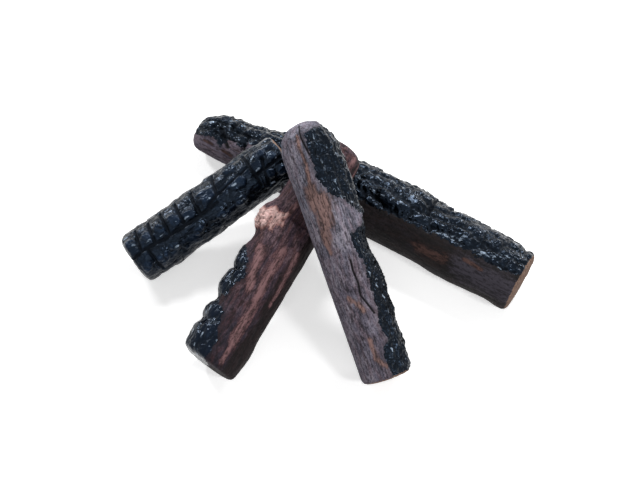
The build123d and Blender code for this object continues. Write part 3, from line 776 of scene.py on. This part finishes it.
def wood_paint(name, wood_foot, wood_head, change, rust, stain, torn_wood=()):
    """Matt paint on refractory cement, brushed and sponged to look like bare wood.

    The wash soaks into the cast cement, so the wood reads dry and cloudy, with no gloss. At the
    foot and at the head it has a dark, a middle and a light tone and a blush, and it changes
    from one to the other between two places along the log, in mm.
    """
    material, add = new_material(name)
    place, stretched, blotch, marks = read_skin(add, ("char_reach", "grain", "rust", "patch",
                                                      "stain", "groove"))

    # Wash: tones in clouds, streaks and specks, which change from foot to head.
    cloud = add("ShaderNodeTexNoise", {"Vector": place, "Scale": 1 / cloud_size, "Detail": 6,
                                       "Roughness": 0.7})
    streak = add("ShaderNodeTexNoise", {"Vector": stretched, "Scale": 1 / streak_size,
                                        "Detail": 5, "Roughness": 0.7})
    speck = add("ShaderNodeTexNoise", {"Vector": place, "Scale": 1 / speck_size, "Detail": 4,
                                       "Roughness": 0.75})
    tone = add("ShaderNodeMix", {"Factor": 0.5, "A": streak, "B": speck})
    tone = add("ShaderNodeMix", {"Factor": 0.4, "A": tone, "B": cloud})
    tone = add("ShaderNodeMapRange", {"Value": tone, "From Min": tone_range[0],
                                      "From Max": tone_range[1]})
    blush_share = add("ShaderNodeMapRange", {"Value": blotch, "From Min": blush_range[0],
                                             "From Max": blush_range[1], "To Max": blush_cover})
    station = add("ShaderNodeSeparateXYZ", {"Vector": place})
    change_low, change_high = change
    changed = add("ShaderNodeMapRange", {"Value": station, "From Min": change_low * MM,
                                         "From Max": change_high * MM})
    lower = add("ShaderNodeMapRange", {"Value": tone, "From Min": 0, "From Max": 0.5})
    upper = add("ShaderNodeMapRange", {"Value": tone, "From Min": 0.5, "From Max": 1})
    washes = []
    for dark, middle, light, blush in (wood_foot, wood_head):
        wash = add("ShaderNodeMix", {"Factor": blush_share, "A": paint(middle),
                                     "B": paint(blush)}, data_type="RGBA")
        wash = add("ShaderNodeMix", {"Factor": lower, "A": paint(dark), "B": wash},
                   data_type="RGBA")
        washes.append(add("ShaderNodeMix", {"Factor": upper, "A": wash, "B": paint(light)},
                          data_type="RGBA"))
    wood = add("ShaderNodeMix", {"Factor": changed, "A": washes[0], "B": washes[1]},
               data_type="RGBA")

    # Stain and painted shade, rust and torn wood, each with its colour, its cover and how readily
    # it holds.
    broken = add("ShaderNodeMix", {"Factor": 0.4, "A": blotch, "B": speck})
    layers = [("stain", stain, 0.92, 0.3), ("rust", rust[0], 0.85, 0.3),
              ("rust", rust[1], 0.75, 0)]
    if torn_wood:
        layers += [("patch", torn_wood[0], 1, 0.3), ("patch", torn_wood[1], 1, -0.15)]
    for mark, colour, cover, hold in layers:
        torn = add("ShaderNodeMath", {0: broken, 1: tear_share, 2: marks[mark]},
                   operation="MULTIPLY_ADD")
        shown = add("ShaderNodeMapRange", {"Value": torn, "From Min": tear_range[0] - hold,
                                           "From Max": tear_range[1] - hold, "To Max": cover})
        touched = add("ShaderNodeMath", {0: marks[mark], 1: 0}, operation="GREATER_THAN")
        shown = add("ShaderNodeMath", {0: shown, 1: touched}, operation="MULTIPLY")
        wood = add("ShaderNodeMix", {"Factor": shown, "A": wood, "B": paint(colour)},
                   data_type="RGBA")

    # Soot lies in the hair cracks and grooves, and along the edge of the char.
    soot = add("ShaderNodeMath", {0: marks["grain"], 1: grain_soot}, operation="MULTIPLY")
    soot = add("ShaderNodeMath", {0: soot, 1: marks["groove"]}, operation="MAXIMUM")
    scorch = add("ShaderNodeMapRange", {"Value": marks["char_reach"], "From Min": scorch_reach[0],
                                        "From Max": scorch_reach[1]})
    scorch = add("ShaderNodeMath", {0: scorch, 1: blotch}, operation="MULTIPLY")
    soot = add("ShaderNodeMath", {0: soot, 1: scorch}, operation="MAXIMUM")
    wood = add("ShaderNodeMix", {"Factor": soot, "A": wood, "B": paint(soot_hex)},
               data_type="RGBA")

    # Grit and pores of the casting, with short fibres along the grain.
    grit = add("ShaderNodeTexNoise", {"Vector": place, "Scale": 1 / grit_size, "Detail": 4,
                                      "Roughness": 0.7})
    fibre = add("ShaderNodeTexNoise", {"Vector": stretched, "Scale": 1 / grit_size, "Detail": 4})
    height = add("ShaderNodeMath", {0: grit, 1: fibre}, operation="ADD")
    bump = add("ShaderNodeBump", {"Strength": 0.8, "Distance": grit_depth, "Height": height})
    dry = add("ShaderNodeMapRange", {"Value": streak, "To Min": dry_roughness[0],
                                     "To Max": dry_roughness[1]})
    surface = add("ShaderNodeBsdfPrincipled", {"Base Color": wood, "Roughness": dry,
                                               "Normal": bump, "IOR": 1.5,
                                               "Specular IOR Level": 0.2})
    add("ShaderNodeOutputMaterial", {"Surface": surface})
    return material


# Where the enamel ran it has ripples, and a finer grit shows through it. It is dry-brushed with
# a paler tone, which is partly painted highlight on its proud parts, and it is dull where it is
# thin.
ripple_size = 3.2 * MM
ripple_depth = 1 * MM
enamel_grit = 0.9 * MM
brush_range = (0.45, 0.8)
coat_range = (0.45, 0.65)
thin_coat = 0.15
crack_roughness = 0.8

# Sheen and glints are painted highlights in pale flecks, which show where their mark and the
# noise together are high. A fleck's paler middle shows a little higher up.
fleck_size = 3 * MM
fleck_stretch = 2.5
fleck_share = 5
fleck_range = (3.3, 3.8)
fleck_middle = (3.5, 4)
fleck_cover = 0.8
highlight_fleck_hexes = ("7c8b9d", "b4c5d8")


def char_paint(name, deep, tops, roughness):
    """Black enamel over cast char. It is thick and glossy, and mirrors lamps on every ridge."""
    material, add = new_material(name)
    place, stretched, blotch, marks = read_skin(add, ("crack", "groove", "lot", "proud", "painted_sheen"))
    ripple = add("ShaderNodeTexNoise", {"Vector": stretched, "Scale": 1 / ripple_size,
                                        "Detail": 2, "Distortion": 0.8})
    grit = add("ShaderNodeTexNoise", {"Vector": place, "Scale": 1 / enamel_grit, "Detail": 4})
    height = add("ShaderNodeMix", {"Factor": 0.05, "A": ripple, "B": grit})
    bump = add("ShaderNodeBump", {"Strength": 0.7, "Distance": ripple_depth, "Height": height})

    # Dry-brushed with blue-grey where it stands proud, partly as painted highlight on the ridges,
    # more on some blocks, and black in cracks.
    brush = add("ShaderNodeMix", {"Factor": 0.4, "A": marks["proud"], "B": blotch})
    brush = add("ShaderNodeMix", {"Factor": 0.2, "A": brush, "B": marks["lot"]})
    brush = add("ShaderNodeMapRange", {"Value": brush, "From Min": brush_range[0],
                                       "From Max": brush_range[1]})
    black = add("ShaderNodeMix", {"Factor": brush, "A": paint(deep), "B": paint(tops)},
                data_type="RGBA")
    # Painted highlights: pale flecks where the painted sheen and glint marks lie.
    fleck = add("ShaderNodeVectorMath", {0: place, 1: (1 / fleck_stretch, 1, 1)},
                operation="MULTIPLY")
    fleck = add("ShaderNodeTexNoise", {"Vector": fleck, "Scale": 1 / fleck_size, "Detail": 3,
                                       "Roughness": 0.6, "Distortion": 0.5})
    fleck = add("ShaderNodeMath", {0: fleck, 1: fleck_share, 2: marks["painted_sheen"]},
                operation="MULTIPLY_ADD")
    highlight_silver = add("ShaderNodeMapRange", {"Value": fleck, "From Min": fleck_middle[0],
                                        "From Max": fleck_middle[1]})
    highlight_silver = add("ShaderNodeMix", {"Factor": highlight_silver, "A": paint(highlight_fleck_hexes[0]),
                                   "B": paint(highlight_fleck_hexes[1])}, data_type="RGBA")
    fleck = add("ShaderNodeMapRange", {"Value": fleck, "From Min": fleck_range[0],
                                       "From Max": fleck_range[1], "To Max": fleck_cover})
    black = add("ShaderNodeMix", {"Factor": fleck, "A": black, "B": highlight_silver}, data_type="RGBA")
    hollow = add("ShaderNodeMath", {0: marks["crack"], 1: marks["groove"]}, operation="MAXIMUM")
    black = add("ShaderNodeMix", {"Factor": hollow, "A": black, "B": paint(soot_hex)},
                data_type="RGBA")

    # The enamel is duller where it is thin, and matt in the cracks. Its highlights are cool.
    coat = add("ShaderNodeMapRange", {"Value": blotch, "From Min": coat_range[0],
                                      "From Max": coat_range[1], "To Min": roughness,
                                      "To Max": roughness + thin_coat})
    coat = add("ShaderNodeMix", {"Factor": hollow, "A": coat, "B": crack_roughness})
    surface = add("ShaderNodeBsdfPrincipled", {"Base Color": black, "Roughness": coat,
                                               "Normal": bump, "IOR": 1.5,
                                               "Specular IOR Level": 0.24,
                                               "Specular Tint": paint("a8c4ea")})
    add("ShaderNodeOutputMaterial", {"Surface": surface})
    return material


sand_size = 2.5 * MM
sand_depth = 0.5 * MM
cement_hexes = ("57463f", "a98b7a")


def cement_paint():
    """Raw refractory cement, as the mould left it: matt, sandy and light brown."""
    material, add = new_material("raw refractory cement")
    place = add("ShaderNodeAttribute", attribute_name="place").outputs["Vector"]
    sand = add("ShaderNodeTexNoise", {"Vector": place, "Scale": 1 / sand_size, "Detail": 6,
                                      "Roughness": 0.75})
    tone = add("ShaderNodeMapRange", {"Value": sand, "From Min": 0.35, "From Max": 0.65})
    cement = add("ShaderNodeMix", {"Factor": tone, "A": paint(cement_hexes[0]),
                                   "B": paint(cement_hexes[1])}, data_type="RGBA")
    bump = add("ShaderNodeBump", {"Strength": 0.7, "Distance": sand_depth, "Height": sand})
    surface = add("ShaderNodeBsdfPrincipled", {"Base Color": cement, "Roughness": 0.9,
                                               "Normal": bump, "IOR": 1.5,
                                               "Specular IOR Level": 0.2})
    add("ShaderNodeOutputMaterial", {"Surface": surface})
    return material


def blank(skin):
    """Marks of a log that has none of them yet, and no char within a metre."""
    empty = np.zeros(len(skin.share))
    return {"char_reach": empty - 1, "rust": empty, "patch": empty, "stain": empty,
            "groove": empty, "boss": empty, "painted_sheen": empty, "raw": empty}


back_skin = LogSkin("back_log", back_length, back_radius, back_skin_step,
                    {"left_log_pin": "left_log_lift", "knotty_log_pin": "knotty_log_lift"},
                    towards=(1, 0, 0), bends=back_bends, head_slant=back_head_slant)
back_marks = blank(back_skin)
back_marks["char_reach"] = back_skin.inside(back_bark)
back_marks["rust"] = back_skin.strokes(back_rust)
back_marks["stain"] = back_skin.strokes(back_grey)
back_marks["groove"] = np.clip(groove_steepness * back_skin.strokes(back_grooves), 0, 1)
back_marks["boss"] = back_skin.strokes(back_bosses)
back_marks["painted_sheen"] = np.maximum(back_skin.strokes(back_sheen), back_skin.dabs(back_painted_glints))
back_marks["raw"] = back_skin.end_face(1)
raw_cement = cement_paint()
back_wood = wood_paint("matt wash, dark brown",
                       wood_foot=("463f4a", "7a7180", "988e9c", "806d73"),
                       wood_head=("0a0808", "120e10", "282328", "241817"),
                       change=(120, 230), rust=("3d2b28", "5d4540"), stain="444049")
back_char = char_paint("black enamel, bark", deep="010203", tops="0c131d", roughness=0.08)

# Sizes and depths of the relief, in mm.
back_relief = {"Block Length": 33, "Crack Width": 2.6, "Crack Depth": 1.8, "Block Lift": 1,
               "Block Tilt": 3, "Crown Depth": 0.8, "Flake Length": 15, "Flake Width": 6,
               "Flake Depth": 0.3, "Lump Width": 9, "Lump Depth": 2.4, "Wrinkle Width": 5,
               "Wrinkle Depth": 0.8, "Char Rise": 1.6, "Edge Wander": 4, "Grain Length": 36,
               "Grain Width": 4.5, "Grain Depth": 0.5, "Swell Depth": 1.2, "Groove Depth": 3.4,
               "Boss Rise": 1.4, "Skin Rise": 0.9}
back_log = carve(back_skin, back_marks, back_relief, rows=14, seed=1, wood=back_wood,
                 char=back_char)
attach(back_log, "back")
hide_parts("back_log")


# Left log: a short billet, burnt to charcoal all over and leant on the back log. It is cast with
# deep square cracks and painted black, and only the rim of its head shows the raw cement. Like
# the two logs after it, it stands over a steel pin of the log below.
left_length = 219 * MM
left_radius = 31.7 * MM
left_skin_step = 0.8 * MM
left_skin_smoothing = 45
left_groove_steepness = 1.6
left_grooves = [(2.8, [(-0.02, 27), (0.06, 24), (0.11, 24), (0.203, 30), (0.277, 30), (0.4, 34),
                       (0.45, 33), (0.55, 30)]),
                (2.4, [(0.1, -30), (0.07, 22)]), (2.4, [(0.18, -30), (0.157, 24)]),
                (2.4, [(0.263, -30), (0.247, 27)]), (2.4, [(0.357, -30), (0.34, 32)]),
                (2.6, [(0.46, -30), (0.437, 36)]), (2.8, [(0.61, -40), (0.57, 18), (0.5, 27)]),
                (2.6, [(0.807, -30), (0.803, 24), (0.8, 60)]),
                (2.4, [(0.887, 6), (0.853, 38), (0.84, 69)]), (2.4, [(0.57, 18), (0.8, 5)]),
                (2.4, [(0.1, 24), (0.11, 90)]), (2.4, [(0.8, 32), (0.97, 30)])]
left_bosses = [(9, [(0.13, 62), (0.15, 64)]), (7, [(0.22, 52), (0.235, 56)]),
               (8, [(0.38, 16), (0.4, 18)]), (13, [(0.49, 0), (0.54, 6)]),
               (12, [(0.68, 18), (0.71, 22)]), (9, [(0.69, -20), (0.72, -16)]),
               (9, [(0.655, 57), (0.67, 58)]), (7, [(0.53, 58), (0.54, 60)]),
               (9, [(0.87, -6), (0.89, -4)]), (8, [(0.93, 12), (0.94, 16)]),
               (9, [(0.94, 55), (0.95, 58)]), (7, [(0.377, 57), (0.39, 58)]),
               (8, [(0.047, 56), (0.05, 60)]), (8, [(0.04, -10), (0.05, -8)]),
               (8, [(0.135, 0), (0.14, 6)]), (8, [(0.21, 2), (0.22, 8)]),
               (9, [(0.3, 4), (0.305, 12)]), (8, [(0.87, 45), (0.88, 48)])]
# Painted highlights on the charcoal: glints dabbed on at these places, and sheen brushed on along
# these lines.
left_painted_glints = [(0.037, -33), (0.057, 2), (0.123, 15), (0.207, 20), (0.14, 66), (0.237, 57),
               (0.37, 20), (0.457, 0), (0.52, 16), (0.57, -8), (0.7, -18), (0.683, 22), (0.67, 58),
               (0.847, -6), (0.83, 24), (0.933, 6), (0.923, 18), (0.857, 68), (0.54, 62)]
left_sheen = [(3.5, [(0.5, -16), (0.55, -10)]), (3, [(0.69, 4), (0.72, 12)]),
              (3, [(0.13, 50), (0.16, 56)]), (2.5, [(0.88, -18), (0.95, -10)]),
              (2.5, [(0.93, 10), (0.95, 24)]), (2.5, [(0.65, 46), (0.68, 50)]),
              (2.5, [(0.03, -22), (0.07, -10)]), (2.5, [(0.14, 16), (0.12, 20)]),
              (2, [(0.3, 18), (0.27, 24)])]
left_char = char_paint("black enamel, charcoal", deep="020305", tops="152132", roughness=0.1)
left_relief = {"Block Length": 21, "Crack Width": 1.6, "Crack Depth": 0.5, "Block Lift": 0.4,
               "Block Tilt": 1, "Crown Depth": 0.3, "Flake Length": 14, "Flake Width": 9,
               "Flake Depth": 0.15, "Lump Width": 10, "Lump Depth": 1.2, "Wrinkle Width": 6,
               "Wrinkle Depth": 0.4, "Groove Depth": 2.6, "Boss Rise": 2.6, "Skin Rise": 2.2}


# A pin's socket is a little wider and deeper than the pin. It is drilled up into a log's seat.
socket_radius = 4.5 * MM
socket_depth = 20 * MM
socket_lead = 2 * MM
socket_sides = 32


def drill(log, seat):
    """Cut the socket of a pin into a log, from the flat of its seat and square to it."""
    point, normal, on_pin = seat
    mouth = on_pin + normal * ((point - on_pin) @ normal)
    across = np.array(Vector(normal).orthogonal().normalized())
    beside = np.cross(normal, across)
    turns = 2 * pi * np.arange(socket_sides) / socket_sides
    ring = socket_radius * (np.outer(np.cos(turns), across) + np.outer(np.sin(turns), beside))
    outside = mouth + ring - normal * socket_lead
    points = np.concatenate([outside, mouth + ring + normal * socket_depth])
    sides = [(side, (side + 1) % socket_sides, socket_sides + (side + 1) % socket_sides,
              socket_sides + side) for side in range(socket_sides)]
    ends = [tuple(range(socket_sides))[::-1], tuple(range(socket_sides, 2 * socket_sides))]
    bit = bpy.data.meshes.new("drill_bit")
    bit.from_pydata(points.tolist(), [], sides + ends)
    place = bit.attributes.new("place", "FLOAT_VECTOR", "POINT")
    place.data.foreach_set("vector", points.ravel())
    raw_index = log.data.materials.find(raw_cement.name)
    bit.polygons.foreach_set("material_index", [raw_index] * len(bit.polygons))
    tool = bpy.data.objects.new("drill_bit", bit)
    bpy.context.scene.collection.objects.link(tool)
    cut = log.modifiers.new("socket", "BOOLEAN")
    cut.solver = "MANIFOLD"
    cut.object = tool
    whole = log.data
    log.data = bpy.data.meshes.new_from_object(
        log.evaluated_get(bpy.context.evaluated_depsgraph_get()))
    log.modifiers.clear()
    bpy.data.meshes.remove(whole)
    bpy.data.objects.remove(tool)
    bpy.data.meshes.remove(bit)
    log.data.name = log.name


left_skin = LogSkin("left_log", left_length, left_radius, left_skin_step,
                    {"left_log_pin": "left_log_lift"}, smoothing=left_skin_smoothing)
left_marks = blank(left_skin)
left_marks["char_reach"] = np.ones(len(left_skin.share))
left_marks["groove"] = np.clip(left_groove_steepness * left_skin.strokes(left_grooves), 0, 1)
left_marks["boss"] = left_skin.strokes(left_bosses)
left_marks["painted_sheen"] = np.maximum(left_skin.strokes(left_sheen), left_skin.dabs(left_painted_glints))
left_marks["raw"] = left_skin.end_face(1)
left_log = carve(left_skin, left_marks, left_relief, rows=12, seed=2, wood=left_char,
                 char=left_char)
drill(left_log, left_skin.flats[0])
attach(left_log, "left")
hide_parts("left_log")


# Knotty log: a stained brown trunk with four charred knots down its left side and a broken
# branch, whose fresh wood is pink. It is cast and painted in one piece like the others, and rust
# runs along its ridges.
knotty_length = 303 * MM
knotty_radius = 33.2 * MM
knotty_foot_slant = 6
knotty_skin_step = 0.92 * MM
knotty_burnt = [(-0.1, -150), (-0.1, 2), (0.023, 4), (0.08, 6), (0.123, -4), (0.18, -12),
                (0.225, -45), (0.24, -56), (0.247, -27), (0.29, -26), (0.333, -14), (0.363, -16),
                (0.41, -28), (0.453, -48), (0.475, -85), (0.47, -150)]
knotty_rust = [(8, [(0.47, -18), (0.443, -14), (0.41, -8), (0.373, -3), (0.307, 9)]),
               (9, [(0.5, 24), (0.44, 26), (0.36, 27), (0.297, 30), (0.203, 33), (0.107, 34)]),
               (5, [(0.107, 34), (0.03, 36)]), (5, [(0.52, 55), (0.46, 60), (0.3, 68)]),
               (7, [(0.88, 50), (0.96, 60)]), (6, [(0.84, 80), (0.98, 95)]),
               (6, [(0.66, 0), (0.72, 10), (0.8, 30)])]
# Painted highlights on the knots: glints dabbed on at these places.
knotty_painted_glints = [(0.063, -50), (0.027, -34), (0.07, -27), (0.113, 3), (0.077, 6), (0.16, -51),
                 (0.173, -44), (0.28, -34), (0.313, -27), (0.203, -3), (0.343, -66), (0.38, -58),
                 (0.4, -42), (0.137, -24), (0.233, -32), (0.01, -22)]
knotty_patch_edge = 5 * MM
knotty_patch_spread = 0.6
knotty_patch = [(0.547, -66), (0.544, -42), (0.556, -26), (0.541, -14), (0.572, -12), (0.585, -1),
                (0.603, -9), (0.634, -2), (0.62, -18), (0.636, -30), (0.613, -42), (0.624, -64)]
# Its right side and underside are painted near black, as painted shade on the side turned away from
# the lamps.
knotty_shaded_side_edge = 12 * MM
knotty_shaded_side_spread = 0.4
knotty_shaded_side = [(-0.1, 44), (0.083, 46), (0.147, 60), (0.22, 58), (0.287, 54), (0.4, 50),
                (0.5, 50), (0.6, 60), (0.8, 70), (1.1, 75), (1.1, 200), (-0.1, 200)]
knotty_skin = LogSkin("knotty_log", knotty_length, knotty_radius, knotty_skin_step,
                      {"knotty_log_pin": "knotty_log_lift", "centre_log_pin": "centre_log_lift"},
                      foot_slant=knotty_foot_slant)
knotty_marks = blank(knotty_skin)
knotty_marks["char_reach"] = knotty_skin.inside(knotty_burnt)
knotty_marks["rust"] = knotty_skin.strokes(knotty_rust)
knotty_marks["painted_sheen"] = knotty_skin.dabs(knotty_painted_glints)
knotty_marks["patch"] = np.clip(
    knotty_skin.inside(knotty_patch) / knotty_patch_edge + knotty_patch_spread, 0, 1)
knotty_marks["stain"] = np.clip(
    knotty_skin.inside(knotty_shaded_side) / knotty_shaded_side_edge + knotty_shaded_side_spread, 0, 1)
# The near-black colour of its dark side is painted shade.
knotty_wood = wood_paint("matt wash, purple brown",
                         wood_foot=("17131b", "2c2530", "54464f", "42282c"),
                         wood_head=("1f171c", "453540", "80696f", "573a39"),
                         change=(60, 150), rust=("5b3f42", "926f70"), stain="120808",
                         torn_wood=("b98a84", "efcbc6"))
knotty_char = char_paint("black enamel, knots", deep="020306", tops="0c1320", roughness=0.06)
knotty_relief = {"Block Length": 24, "Crack Width": 1, "Flake Length": 30, "Flake Width": 12,
                 "Flake Depth": 0.2, "Lump Width": 11, "Lump Depth": 2, "Wrinkle Width": 8,
                 "Wrinkle Depth": 0.8, "Char Rise": 1.4, "Edge Wander": 2.5, "Grain Length": 40,
                 "Grain Width": 6, "Grain Depth": 0.8, "Swell Depth": 1.6, "Patch Rise": 2.6,
                 "Skin Rise": 1}
knotty_log = carve(knotty_skin, knotty_marks, knotty_relief, rows=8, seed=3, wood=knotty_wood,
                   char=knotty_char)
drill(knotty_log, knotty_skin.flats[0])
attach(knotty_log, "knotty")
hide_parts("knotty_log")


# Centre log: a weathered limb with a domed head, cast in one piece and laid on the knotty log.
# Its left side is painted as dry grey-brown wood and its right side as burnt, with a grey collar
# between two stretches of char.
centre_length = 305 * MM
centre_radius = 32.7 * MM
centre_skin_step = 0.92 * MM
centre_skin_smoothing = 20
centre_burnt = [(-0.1, 160), (-0.1, -3), (0, -3), (0.08, -9), (0.12, -4), (0.15, 12), (0.2, 4),
                (0.25, 12), (0.29, 10), (0.343, 14), (0.443, 15), (0.487, 6), (0.55, 9),
                (0.575, 50), (0.61, 54), (0.65, 30), (0.68, 18), (0.707, -4), (0.72, -9),
                (0.787, -20), (0.823, -21), (0.867, -16), (0.903, -20), (0.953, -16),
                (0.965, 40), (1, 150), (1.1, 160)]
centre_rust = [(3.5, [(0.95, -33), (0.89, -33), (0.843, -32), (0.76, -39)]),
               (12, [(0.745, -42), (0.717, -45), (0.687, -44)]),
               (15, [(0.71, -22), (0.677, -27), (0.62, -34)]),
               (11, [(0.62, -34), (0.557, -46)]),
               (4, [(0.547, -48), (0.507, -45)]), (5, [(0.33, -38), (0.303, -27), (0.27, -18)]),
               (4.5, [(0.16, -24), (0.09, -27), (0.053, -10)])]
# Painted highlights on the char: glints dabbed on at these places.
centre_painted_glints = [(0.93, 3), (0.837, 2), (0.807, 4), (0.777, 9), (0.75, 15), (0.72, 16),
                 (0.69, 16), (0.883, 22), (0.843, 42), (0.523, 24), (0.39, 22), (0.34, 33),
                 (0.297, 42), (0.24, 38), (0.16, 45), (0.103, 40), (0.03, 32), (0.1, 14)]
centre_grooves = [(1.7, [(0.985, -26), (0.943, -26), (0.903, -22), (0.87, -19)]),
                  (1.7, [(0.46, -10), (0.42, -12), (0.373, -10), (0.327, -14), (0.283, -4),
                         (0.25, 2)])]
centre_skin = LogSkin("centre_log", centre_length, centre_radius, centre_skin_step,
                      {"centre_log_pin": "centre_log_lift"}, smoothing=centre_skin_smoothing)
centre_marks = blank(centre_skin)
centre_marks["char_reach"] = centre_skin.inside(centre_burnt)
centre_marks["rust"] = centre_skin.strokes(centre_rust)
centre_marks["painted_sheen"] = centre_skin.dabs(centre_painted_glints)
centre_marks["groove"] = np.clip(groove_steepness * centre_skin.strokes(centre_grooves), 0, 1)
centre_marks["raw"] = centre_skin.end_face(-1)
centre_wood = wood_paint("matt wash, weathered grey",
                         wood_foot=("3a3540", "746f7e", "a39ca8", "7a6972"),
                         wood_head=("42434e", "7f7e8d", "b4aebb", "857682"),
                         change=(120, 200), rust=("6d5653", "a0807a"), stain="56505a")
centre_char = char_paint("black enamel, burnt limb", deep="020304", tops="121a24",
                         roughness=0.08)
centre_relief = {"Block Length": 26, "Crack Width": 1.8, "Crack Depth": 0.9, "Block Lift": 1,
                 "Block Tilt": 2, "Crown Depth": 0.4, "Flake Length": 12, "Flake Width": 4.5,
                 "Flake Depth": 0.5, "Lump Width": 8, "Lump Depth": 2.4, "Wrinkle Width": 5,
                 "Wrinkle Depth": 1, "Char Rise": 0.8, "Edge Wander": 3, "Grain Length": 30,
                 "Grain Width": 4.2, "Grain Depth": 0.8, "Swell Depth": 1.3, "Groove Depth": 2.2,
                 "Skin Rise": 0.9}
centre_log = carve(centre_skin, centre_marks, centre_relief, rows=16, seed=4,
                   wood=centre_wood, char=centre_char)
drill(centre_log, centre_skin.flats[0])
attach(centre_log, "centre")
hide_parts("centre_log")


# Reinforcing rods and locating pins: mild steel. The rods are drawn bar, cast in and never seen.
# The pins are turned dowels, set in the lower log, which show when a log is lifted.
dull_spread = 0.1
mark_depth = 0.05 * MM


def bare_steel(name, colours, mark_size, roughness):
    """Bare steel, a little dulled. The marks of its making are drawn coarse, so that they show."""
    material, add = new_material(name)
    place = add("ShaderNodeTexCoord").outputs["Object"]
    marks = add("ShaderNodeTexNoise", {"Vector": place, "Scale": 1 / mark_size, "Detail": 4})
    tint = add("ShaderNodeMix", {"Factor": marks, "A": paint(colours[0]),
                                 "B": paint(colours[1])}, data_type="RGBA")
    dull = add("ShaderNodeMapRange", {"Value": marks, "To Min": roughness - dull_spread,
                                      "To Max": roughness + dull_spread})
    bump = add("ShaderNodeBump", {"Strength": 0.2, "Distance": mark_depth, "Height": marks})
    surface = add("ShaderNodeBsdfPrincipled", {"Base Color": tint, "Metallic": 1,
                                               "Roughness": dull, "Normal": bump})
    add("ShaderNodeOutputMaterial", {"Surface": surface})
    return material


rod_steel = bare_steel("drawn mild steel", colours=("5c5753", "7a7571"), mark_size=1.5 * MM,
                       roughness=0.45)
pin_steel = bare_steel("turned mild steel", colours=("8c8a88", "a8a6a4"), mark_size=0.6 * MM,
                       roughness=0.32)
for name, node in frame["nodes"].items():
    if "_rod_" in name or name.endswith("_pin"):
        node.material_slots[0].material = rod_steel if "_rod_" in name else pin_steel
